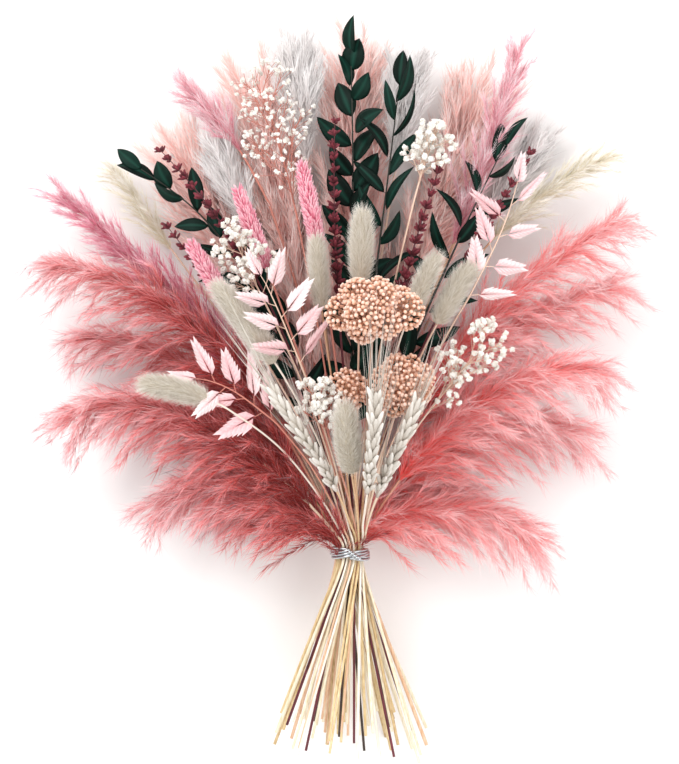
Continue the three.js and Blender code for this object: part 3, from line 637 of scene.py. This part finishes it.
def spray_tree():
    """Baby's breath: fine forks that fork again, each ending in a small crumpled white flower."""
    tree, size, seed, curve, head = plant_tree("Baby's breath spray", {
        "Half Width": 0.02, "Forks": 14, "Twigs": 7, "Flower": 0.0026,
    })
    half = size["Half Width"]
    fork_length = add(tree, "ShaderNodeMath", {0: half, 1: 0.9, 2: 6 * MM}, operation="MULTIPLY_ADD")
    twig_length = add(tree, "ShaderNodeMath", {0: half, 1: 0.3, 2: 4 * MM}, operation="MULTIPLY_ADD")
    forks = side_branches(tree, seed, head, size["Forks"], fork_length, 0.6, 0.62, (0.0, 0.0, 0.0), 6)
    fork_share = add(tree, "GeometryNodeSplineParameter")
    far_half = add(tree, "GeometryNodeTrimCurve", {0: forks, 2: 0.4})
    far_half = add(
        tree, "GeometryNodeStoreNamedAttribute", {0: far_half, "Name": "share", "Value": fork_share})
    twigs = side_branches(tree, seed, far_half, size["Twigs"], twig_length, 0.7, 0.6, (0.0, 0.0, 0.0), 4)
    stalks = [tube(tree, forks, 0.26 * MM, 4, size["Straw"]), tube(tree, twigs, 0.18 * MM, 3, size["Straw"])]
    ends = add(tree, "GeometryNodeCurveToPoints", {0: twigs, 1: 2})
    out = add(tree, "GeometryNodeInputNamedAttribute", {0: "depth"})
    last = add(tree, "FunctionNodeCompare", {0: out, 1: 0.9}, operation="GREATER_THAN")
    ends = add(tree, "GeometryNodeSeparateGeometry", {0: ends, 1: last})
    petals = add(tree, "GeometryNodeDuplicateElements", {0: ends, "Amount": 3})
    apart = add(
        tree, "FunctionNodeRandomValue",
        {0: [-0.8 * MM] * 3, 1: [0.8 * MM] * 3, "Seed": next(seed)},
        data_type="FLOAT_VECTOR")
    petals = add(tree, "GeometryNodeSetPosition", {0: petals, "Offset": apart})
    flower = add(tree, "GeometryNodeMeshIcoSphere", {"Radius": 0.5, "Subdivisions": 2})
    crumple = add(
        tree, "FunctionNodeRandomValue", {0: (-0.2, -0.2, -0.2), 1: (0.2, 0.2, 0.2), "Seed": next(seed)},
        data_type="FLOAT_VECTOR")
    flower = along_z(tree, add(tree, "GeometryNodeSetPosition", {0: flower, "Offset": crumple}))
    turn = add(
        tree, "FunctionNodeRandomValue", {0: (0, 0, 0), 1: (6, 6, 6), "Seed": next(seed)},
        data_type="FLOAT_VECTOR")
    rotation = add(tree, "FunctionNodeEulerToRotation", {0: turn})
    flowers = stand(tree, seed, petals, rotation, flower, size["Flower"], size["Flower"], size["Finish"], 0.6)
    return finished(tree, straw(tree, size, curve), [*stalks, flowers])


def umbel_tree():
    """A rice flower: stalks rise from one place to a dome of small clumps, each packed with round buds."""
    tree, size, seed, curve, head = plant_tree("Rice flower umbel", {
        "Half Width": 0.025, "Dome": 0.55, "Bud": 0.0024,
    })
    clump = add(tree, "ShaderNodeMath", {0: size["Half Width"], 1: 0.3}, operation="MULTIPLY")
    dome_radius = add(tree, "ShaderNodeMath", {0: size["Half Width"], 1: 0.62}, operation="MULTIPLY")
    dome = add(tree, "GeometryNodeMeshUVSphere", {"Segments": 20, "Rings": 12, "Radius": dome_radius})
    sink = add(tree, "ShaderNodeMath", {0: size["Dome"], 1: -1.0, 2: -0.2}, operation="MULTIPLY_ADD")
    sink = add(tree, "ShaderNodeMath", {0: dome_radius, 1: sink}, operation="MULTIPLY")
    sink = add(tree, "ShaderNodeCombineXYZ", {2: sink})
    flatten = add(tree, "ShaderNodeCombineXYZ", {0: 1.0, 1: 1.0, 2: size["Dome"]})
    dome = add(tree, "GeometryNodeTransform", {0: dome, 1: sink, 3: flatten})
    apart = add(tree, "ShaderNodeMath", {0: clump, 1: 1.5}, operation="MULTIPLY")
    centres = add(
        tree, "GeometryNodeDistributePointsOnFaces",
        {0: dome, "Distance Min": apart, "Density Max": 2.0e5, "Seed": next(seed)},
        distribute_method="POISSON")
    ball = add(tree, "GeometryNodeMeshUVSphere", {"Segments": 14, "Rings": 9, "Radius": clump})
    some = add(tree, "FunctionNodeRandomValue", {2: 0.75, 3: 1.1, "Seed": next(seed)})
    clumps = add(tree, "GeometryNodeInstanceOnPoints", {0: centres, 2: ball, 6: some})
    clumps = add(tree, "GeometryNodeRealizeInstances", {0: clumps})
    top = add(tree, "GeometryNodeTrimCurve", {0: head, 2: 0.97, 3: 1.0})
    top = add(tree, "GeometryNodeCurveToPoints", {0: top, 1: 1})
    clumps = add(tree, "GeometryNodeInstanceOnPoints", {0: top, 2: clumps, 5: top.outputs["Rotation"]})
    clumps = add(tree, "GeometryNodeRealizeInstances", {0: clumps})
    spacing = add(tree, "ShaderNodeMath", {0: size["Bud"], 1: 0.85}, operation="MULTIPLY")
    places = add(
        tree, "GeometryNodeDistributePointsOnFaces",
        {0: clumps, "Distance Min": spacing, "Density Max": 5.0e5, "Seed": next(seed)},
        distribute_method="POISSON")
    some = add(tree, "FunctionNodeRandomValue", {2: 0.7, 3: 1.1, "Seed": next(seed)})
    width = add(tree, "ShaderNodeMath", {0: size["Bud"], 1: some}, operation="MULTIPLY")
    buds = stand(
        tree, seed, places, places.outputs["Rotation"], spindle(tree, 7, 6), size["Bud"], width,
        size["Finish"], 0.8)
    foot = add(tree, "GeometryNodeSampleCurve", {0: head, "Factor": 0.25})
    some = add(
        tree, "GeometryNodeDistributePointsOnFaces",
        {0: clumps, "Distance Min": 6 * MM, "Density Max": 2.0e5, "Seed": next(seed)},
        distribute_method="POISSON")
    here = add(tree, "GeometryNodeInputPosition")
    reach = add(tree, "ShaderNodeVectorMath", {0: here, 1: foot.outputs["Position"]}, operation="SUBTRACT")
    some = add(
        tree, "GeometryNodeStoreNamedAttribute", {0: some, "Name": "reach", "Value": reach},
        data_type="FLOAT_VECTOR")
    some = add(tree, "GeometryNodeSetPosition", {0: some, "Position": foot.outputs["Position"]})
    reach = add(tree, "GeometryNodeInputNamedAttribute", {0: "reach"}, data_type="FLOAT_VECTOR")
    far = add(tree, "ShaderNodeVectorMath", {0: reach}, operation="LENGTH")
    rotation = add(tree, "FunctionNodeAlignRotationToVector", {"Vector": reach})
    stalks = stand(
        tree, seed, some, rotation, rod(tree), far.outputs["Value"], 0.8 * MM, size["Straw"], 0.98)
    return finished(tree, straw(tree, size, curve), [stalks, buds])


def rod(tree):
    """A plain stalk of length 1 and width 1, along +Z from its root."""
    return along_z(tree, add(
        tree, "GeometryNodeMeshCone",
        {"Vertices": 4, "Side Segments": 1, "Radius Top": 0.4, "Radius Bottom": 0.5, "Depth": 1.0}))


def blade_tree():
    """Flat leaves or husks on both sides of the stem, which turn their faces up."""
    tree, size, seed, curve, head = plant_tree("Leafy sprig", {
        "Blade": "", "Blades": 10, "Blade Length": 0.03, "Blade Width": 0.012, "Narrowest": 0.75,
        "Lean": 0.75, "Stalk": 0.001,
    })
    roots = add(tree, "GeometryNodeCurveToPoints", {0: head, 1: size["Blades"]})
    number = add(tree, "GeometryNodeInputIndex")
    side = add(tree, "ShaderNodeMath", {0: number, 1: 2.0}, operation="MODULO")
    side = add(tree, "ShaderNodeMath", {0: side, 1: 2.0, 2: -1.0}, operation="MULTIPLY_ADD")
    some = add(tree, "FunctionNodeRandomValue", {2: 0.35, 3: 1.5, "Seed": next(seed)})
    lean = add(tree, "ShaderNodeMath", {0: size["Lean"], 1: some}, operation="MULTIPLY")
    share = add(tree, "GeometryNodeInputNamedAttribute", {0: "share"})
    last = add(tree, "ShaderNodeMapRange", {0: share, 1: 0.8, 2: 1.0, 3: 1.0, 4: 0.1})
    angle = add(tree, "ShaderNodeMath", {0: lean, 1: side}, operation="MULTIPLY")
    angle = add(tree, "ShaderNodeMath", {0: angle, 1: last}, operation="MULTIPLY")
    way = add(
        tree, "ShaderNodeVectorRotate", {0: roots.outputs["Tangent"], 2: (0, 0, 1), 3: angle},
        rotation_type="AXIS_ANGLE")
    lift = add(
        tree, "FunctionNodeRandomValue", {0: (0, 0, -0.3), 1: (0, 0, 0.45), "Seed": next(seed)},
        data_type="FLOAT_VECTOR")
    way = add(tree, "ShaderNodeVectorMath", {0: way, 1: lift})
    rotation = add(tree, "FunctionNodeAlignRotationToVector", {"Vector": way})
    up = add(
        tree, "FunctionNodeRandomValue", {0: (-0.7, -0.7, 0.4), 1: (0.7, 0.7, 1.0), "Seed": next(seed)},
        data_type="FLOAT_VECTOR")
    rotation = add(
        tree, "FunctionNodeAlignRotationToVector", {"Rotation": rotation, "Vector": up}, axis="Y",
        pivot_axis="Z")
    placed = add(
        tree, "GeometryNodeStoreNamedAttribute", {0: roots, "Name": "turn", "Value": rotation},
        data_type="QUATERNION")
    turn = add(tree, "GeometryNodeInputNamedAttribute", {0: "turn"}, data_type="QUATERNION")
    stalks = stand(tree, seed, placed, turn, rod(tree), size["Stalk"], 0.6 * MM, size["Straw"], 1.0)
    out = add(tree, "ShaderNodeCombineXYZ", {2: size["Stalk"]})
    out = add(tree, "FunctionNodeRotateVector", {0: out, 1: turn})
    ends = add(tree, "GeometryNodeSetPosition", {0: placed, "Offset": out})
    tint = add(tree, "FunctionNodeRandomValue", {2: 0.0, 3: 1.0, "Seed": next(seed)})
    ends = add(tree, "GeometryNodeStoreNamedAttribute", {0: ends, "Name": "strand", "Value": tint})
    blade = add(tree, "GeometryNodeObjectInfo", {0: size["Blade"]}).outputs["Geometry"]
    some = add(tree, "FunctionNodeRandomValue", {2: 0.75, 3: 1.1, "Seed": next(seed)})
    long = tapered(tree, size["Blade Length"], share, 0.8)
    long = add(tree, "ShaderNodeMath", {0: long, 1: some}, operation="MULTIPLY")
    some = add(tree, "FunctionNodeRandomValue", {2: size["Narrowest"], 3: 1.1, "Seed": next(seed)})
    wide = tapered(tree, size["Blade Width"], share, 0.8)
    wide = add(tree, "ShaderNodeMath", {0: wide, 1: some}, operation="MULTIPLY")
    scale = add(tree, "ShaderNodeCombineXYZ", {0: wide, 1: long, 2: long})
    blades = add(tree, "GeometryNodeInstanceOnPoints", {0: ends, 2: blade, 5: turn, 6: scale})
    blades = add(tree, "GeometryNodeRealizeInstances", {0: blades})
    blades = add(tree, "GeometryNodeSetMaterial", {0: blades, "Material": size["Finish"]})
    return finished(tree, straw(tree, size, curve), [stalks, blades])


# ---- Blades that are placed by the tree above: length 1 along +Z, width 1, face towards +Y ----

def leaf_blade():
    """A pointed oval leaf with a raised midrib. It is thin and arches back a little."""
    columns, rows = 6, 10
    solid = bmesh.new()
    rib_highlight = solid.verts.layers.float.new("rib_highlight")
    faces = {}
    for side in (1, -1):
        for row in range(rows + 1):
            t = row / rows
            half = 0.5 * sin(pi * t ** 0.85) ** 0.8 if 0 < t < 1 else 0.0
            for column in range(columns + 1):
                across = 2 * column / columns - 1
                crease = 0.05 * abs(across) * sin(pi * t)
                arch = -0.12 * (2 * t - 0.7) ** 2
                skin = 0.012 * (1 - across * across) * sin(pi * t) * side
                vertex = solid.verts.new((half * across, arch + crease + skin, t))
                # Marks the painted highlight band down the middle of the leaf.
                vertex[rib_highlight] = max(0.0, 1 - abs(across) * 4)
                faces[side, row, column] = vertex
    for side in (1, -1):
        for row in range(rows):
            for column in range(columns):
                corners = [faces[side, row + a, column + b] for a, b in ((0, 0), (0, 1), (1, 1), (1, 0))]
                solid.faces.new(corners)
    bmesh.ops.remove_doubles(solid, verts=solid.verts, dist=1e-5)
    bmesh.ops.recalc_face_normals(solid, faces=solid.faces)
    for face in solid.faces:
        face.smooth = True
    return blade_object(solid, "Ruscus leaf")


def oat_blade():
    """A flat spikelet of overlapping pointed husks in two rows, comb-like at its edges."""
    solid = bmesh.new()
    along = solid.verts.layers.float.new("along")
    count = 13
    for n in range(count):
        side = 1 if n % 2 else -1
        share = n / (count - 1)
        length = 0.42 - 0.12 * share
        lean = side * (0.5 - 0.36 * share)
        way = Vector((sin(lean), 0, cos(lean)))
        out = Vector((cos(lean), 0, -sin(lean))) * (0.075 - 0.02 * share)
        base = Vector((0.015 * side, 0.006 * n, 0.62 * share))
        middle = base + way * length * 0.4
        thick = Vector((0, 0.03, 0))
        points = [base, middle + out, base + way * length, middle - out, middle + thick, middle - thick]
        corners = [solid.verts.new(point) for point in points]
        # Painted shade: the upward ridge of each husk gets a paler colour value than the downward one, so the
        # underside is painted darker.
        for corner, place in zip(corners, (0.1, 0.45, 1.0, 0.45, 0.7, 0.2)):
            corner[along] = place
        for top in (4, 5):
            for a in range(4):
                solid.faces.new((corners[a], corners[(a + 1) % 4], corners[top]))
    bmesh.ops.recalc_face_normals(solid, faces=solid.faces)
    return blade_object(solid, "Oat spikelet")


def blade_object(solid, name):
    """An object for the tree to place, which stays out of the scene itself."""
    mesh = bpy.data.meshes.new(name)
    solid.to_mesh(mesh)
    solid.free()
    return bpy.data.objects.new(name, mesh)


# ---- Growing each stem's plant ----

def piece_from(mesh, node):
    """A finished piece that stands for its node: it hangs from the root body and the node's own part is
    hidden.
    """
    piece = bpy.data.objects.new(node + "_piece", mesh)
    bpy.context.scene.collection.objects.link(piece)
    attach(piece, "root")
    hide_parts(node)
    return piece


def grow(node, tree, branched=False, lower=0.0, short=0.0, **sizes):
    """Runs a tree on a stem's line, and keeps the result as one plain mesh. The head may start lower on the
    stem, and its stalk may end short of the tip, so that what grows from it reaches the tip."""
    line, below, above, half = stem_of(node, branched)
    whole = below + above
    holder = bpy.data.objects.new(node + "_line", line)
    bpy.context.scene.collection.objects.link(holder)
    modifier = holder.modifiers.new("Growth", "NODES")
    modifier.node_group = tree
    values = {
        "Head Start": (below - lower) / whole, "Head End": 1 - short / whole, "Half Width": half, **sizes}
    for socket in tree.interface.items_tree:
        if socket.in_out == "INPUT" and socket.name in values:
            modifier[socket.identifier] = values[socket.name]
    graph = bpy.context.evaluated_depsgraph_get()
    mesh = bpy.data.meshes.new_from_object(holder.evaluated_get(graph), depsgraph=graph)
    holder.modifiers.remove(modifier)
    bpy.data.objects.remove(holder)
    bpy.data.meshes.remove(line)
    return piece_from(mesh, node)


PLUME = plume_tree()
HARE_TAIL = hare_tail_tree()
BRACT_SPIKE = bract_spike_tree()
LAVENDER = lavender_tree()
BARLEY = barley_tree()
SPRAY = spray_tree()
UMBEL = umbel_tree()
SPRIG = blade_tree()
RUSCUS_LEAF = leaf_blade()
OAT_SPIKELET = oat_blade()

# How each kind of plume grows, in millimetres and degrees. A head starts lower on its stem than the solid, or
# higher where that is less than 0. Four stems differ from their kind.
PLUMES = {
    "coral_plume": dict(
        branches=120, length=48, tip=0.5, spread=34, droop=(0, -0.34, -0.04), wave=14, hair=14, width=0.3,
        lean=36, spacing=0.46, frizz=5, lower=28, short=22),
    "rose_plume": dict(
        branches=70, length=34, tip=0.65, spread=22, droop=(0, -0.06, 0), wave=8, hair=11, width=0.32,
        lean=30, spacing=0.36, frizz=4, lower=5, short=22),
    "blush_plume": dict(
        branches=220, length=54, tip=0.82, spread=24, droop=(0, 0, 0), wave=6, hair=15, width=0.9, lean=28,
        spacing=0.68, frizz=4, lower=90, short=46),
    "pearl_plume": dict(
        branches=64, length=44, tip=0.85, spread=15, droop=(0, 0, 0), wave=6, hair=14, width=0.7, lean=28,
        spacing=0.46, frizz=4, lower=-62, short=38),
    "cream_plume": dict(
        branches=56, length=28, tip=0.7, spread=24, droop=(0, -0.16, 0), wave=8, hair=10, width=0.3, lean=30,
        spacing=0.4, frizz=4, lower=-25, short=20),
    "pearl_plume_1": dict(branches=36, length=38),
    "rose_plume_left": dict(branches=110, lower=80),
    "rose_plume_top_left": dict(branches=44, length=24, lower=-15),
    "cream_plume_left": dict(branches=40, lower=-50),
}
# Of the leaves on each sprig: how many, how long and how wide in millimetres.
LEAVES = {
    "leaf_branch_left": (19, 29, 14),
    "leaf_branch_centre": (24, 28, 17),
    "leaf_branch_right": (20, 35, 10.5),
    "leaf_branch_far_right": (17, 31, 10.5),
}
# The straws that each kind takes in turn.
STRAWS = {
    "coral_plume": ("golden", "pale", "tan", "pink"),
    "rose_plume": ("pink", "pale", "golden"),
    "blush_plume": ("pale", "golden", "tan", "pale"),
    "pearl_plume": ("pale", "tan", "golden", "pale"),
    "cream_plume": ("golden", "pale"),
    "pink_spike": ("pink", "pale", "pink"),
    "bunny_tail": ("white", "pale", "golden"),
    "barley_ear": ("white", "pale", "golden"),
    "lavender": ("burgundy",),
    "rice_flower": ("tan", "golden", "pale"),
    "baby_breath": ("pale", "pink"),
    "leaf_branch": ("dark",),
    "oat_spray": ("pale", "pink"),
}


def finish_of(node, kind):
    """The coral is deeper on the left side, and one rose plume is deeper than the others."""
    if kind == "coral_plume":
        return HAIR["coral_left" if "left" in node else "coral_right"]
    if kind == "rose_plume":
        return HAIR["rose_left" if node == "rose_plume_left" else "rose_pale"]
    return {**HAIR, **BUD, "leaf_branch": LEAF}[kind]


def grow_plume(node, kind, common):
    style = {**PLUMES[kind], **PLUMES.get(node, {})}
    grow(node, PLUME, lower=style["lower"] * MM, short=style["short"] * MM, **common, **{
        "Branches": style["branches"], "Branch Length": style["length"] * MM, "Tip Share": style["tip"],
        "Spread": radians(style["spread"]), "Droop": style["droop"], "Wave": style["wave"] * MM,
        "Hair Length": style["hair"] * MM, "Hair Width": style["width"] * MM,
        "Hair Lean": radians(style["lean"]), "Hair Spacing": style["spacing"] * MM,
        "Frizz": style["frizz"] * MM,
    })


def grow_leaves(node, common):
    count, length, width = LEAVES[node]
    grow(node, SPRIG, branched=True, lower=75 * MM, short=26 * MM, Blade=RUSCUS_LEAF, **common, **{
        "Blades": count, "Blade Length": length * MM, "Blade Width": width * MM, "Narrowest": 0.6,
        "Lean": 0.66,
    })


def grow_oats(node, common):
    grow(node, SPRIG, branched=True, short=26 * MM, Blade=OAT_SPIKELET, **common, **{
        "Blades": 8, "Blade Length": 31 * MM, "Blade Width": 31 * MM, "Stalk": 5 * MM, "Lean": 0.8,
    })


def grow_breath(node, common):
    """The spray at the top left is finer and fuller than the others."""
    forks, twigs, flower = (20, 9, 1.9) if node == "baby_breath_top_left" else (14, 7, 2.6)
    grow(node, SPRAY, branched=True, short=9 * MM, **common, **{
        "Forks": forks, "Twigs": twigs, "Flower": flower * MM,
    })


def grow_node(node, number):
    kind = KIND[node]
    straws = STRAWS[kind]
    common = {
        "Seed": 1000 * (number + 1), "Straw": STRAW[straws[number % len(straws)]],
        "Finish": finish_of(node, kind),
    }
    if kind in PLUMES:
        grow_plume(node, kind, common)
    elif kind == "bunny_tail":
        grow(node, HARE_TAIL, **common)
    elif kind == "pink_spike":
        grow(node, BRACT_SPIKE, **common)
    elif kind == "lavender":
        grow(node, LAVENDER, **common)
    elif kind == "barley_ear":
        grow(node, BARLEY, lower=10 * MM, **common)
    elif kind == "rice_flower":
        grow(node, UMBEL, branched=True, Dome=0.55 if node == "rice_flower_top" else 1.0, **common)
    elif kind == "baby_breath":
        grow_breath(node, common)
    elif kind == "leaf_branch":
        grow_leaves(node, common)
    elif kind == "oat_spray":
        grow_oats(node, common)


for number, node in enumerate(sorted(name for name in NODES if name != "tie_wire")):
    grow_node(node, number)


# ---- The silver wire ----

def wire_material():
    """Bright drawn steel wire, silvery, with fine scratches along it."""
    material, tree, shader = finish("Silvered binding wire", 0.22, Metallic=1.0)
    shader.inputs["Base Color"].default_value = linear("bfc2c5")
    place = add(tree, "ShaderNodeTexCoord")
    grain = add(tree, "ShaderNodeTexNoise", {"Vector": place.outputs["Object"], "Scale": 900.0})
    bump = add(tree, "ShaderNodeBump", {"Height": grain, "Strength": 0.2, "Distance": 0.1 * MM})
    tree.links.new(bump.outputs[0], shader.inputs["Normal"])
    return material


def wire_routes(wire):
    """Two strands wound round the stems, wandering over each other, and their ends twisted up in front."""
    loops, steps = 3, 48
    weave = 1.3 * MM
    room = tie_high.y - tie_low.y - 2 * (wire + weave)
    routes = []
    for phase in (0.0, pi):
        route = []
        for n in range(loops * steps + 1):
            turn = 2 * pi * n / steps
            along = (n / (loops * steps) - 0.5) * room + weave * sin(1.5 * turn + phase)
            reach = TIE_RADIUS - wire + 0.6 * MM * cos(1.5 * turn + phase)
            route.append(TIE + Vector((reach * sin(turn), along, reach * cos(turn))))
        routes.append(route)
    twist_length, turns = 9 * MM, 2.5
    front = TIE + Vector((-1.5 * MM, 2.5 * MM, TIE_RADIUS + 0.2 * MM))
    way = Vector((0.8, -0.6, 0.0))
    across = Vector((0.6, 0.8, 0.0))
    for phase in (0.0, pi):
        route = []
        for n in range(steps + 1):
            turn = 2 * pi * turns * n / steps + phase
            lean = (across * sin(turn) + Vector((0, 0, cos(turn)))) * wire * 0.95
            route.append(front + way * twist_length * n / steps + lean)
        routes.append(route)
    return routes


def wire_winding():
    wire = 0.8 * MM
    curve = bpy.data.curves.new("tie_wire_path", "CURVE")
    curve.dimensions = "3D"
    curve.bevel_depth = wire
    curve.bevel_resolution = 2
    curve.use_fill_caps = True
    for route in wire_routes(wire):
        spline = curve.splines.new("POLY")
        spline.points.add(len(route) - 1)
        for point, place in zip(spline.points, route):
            point.co = (*place, 1)
    holder = bpy.data.objects.new("tie_wire_path", curve)
    bpy.context.scene.collection.objects.link(holder)
    graph = bpy.context.evaluated_depsgraph_get()
    mesh = bpy.data.meshes.new_from_object(holder.evaluated_get(graph), depsgraph=graph)
    bpy.data.objects.remove(holder)
    mesh.materials.append(wire_material())
    for face in mesh.polygons:
        face.use_smooth = True
        face.material_index = 0
    return piece_from(mesh, "tie_wire")


wire_winding()


# ---- Floor, light and camera ----

def floor():
    """A wide plain table under the bundle."""
    mesh = bpy.data.meshes.new("floor")
    reach = 9.0
    corners = [(-reach, -reach, 0), (reach, -reach, 0), (reach, reach, 0), (-reach, reach, 0)]
    mesh.from_pydata(corners, [], [(0, 1, 2, 3)])
    plane = bpy.data.objects.new("floor", mesh)
    bpy.context.scene.collection.objects.link(plane)
    material, _, shader = finish("Pale matt floor", 0.9)
    shader.inputs["Base Color"].default_value = linear("fbfaf9")
    mesh.materials.append(material)


def soft_box(name, place, aim, width, power):
    light = bpy.data.lights.new(name, "AREA")
    light.size = width
    light.energy = power
    lamp = bpy.data.objects.new(name, light)
    lamp.location = place
    lamp.rotation_euler = (Vector(aim) - Vector(place)).to_track_quat("-Z", "Y").to_euler()
    bpy.context.scene.collection.objects.link(lamp)


def studio():
    world = bpy.data.worlds.new("Studio")
    bpy.context.scene.world = world
    world.use_nodes = True
    background = world.node_tree.nodes["Background"]
    background.inputs[0].default_value = (1, 1, 1, 1)
    background.inputs[1].default_value = 1.0
    soft_box("key", (-0.7, 0.9, 1.3), (0, 0.02, 0), 0.9, 14)
    soft_box("fill", (0.9, -0.3, 1.2), (0, 0.02, 0), 1.2, 6)
    bpy.context.scene.view_settings.view_transform = "Standard"


def camera():
    """Straight above the bundle, with the plumes at the top of the picture."""
    lens = bpy.data.cameras.new("camera")
    eye = bpy.data.objects.new("camera", lens)
    bpy.context.scene.collection.objects.link(eye)
    bpy.context.scene.camera = eye
    frame_height = 0.443
    subject_height = 0.045
    distance = 1.4
    lens.sensor_fit = "VERTICAL"
    lens.sensor_height = 36
    lens.lens = 36 * distance / frame_height
    eye.location = (TIE.x - 6 * MM, TIE.y + 99 * MM, subject_height + distance)
    eye.rotation_euler = (0, 0, 0)


floor()
studio()
camera()
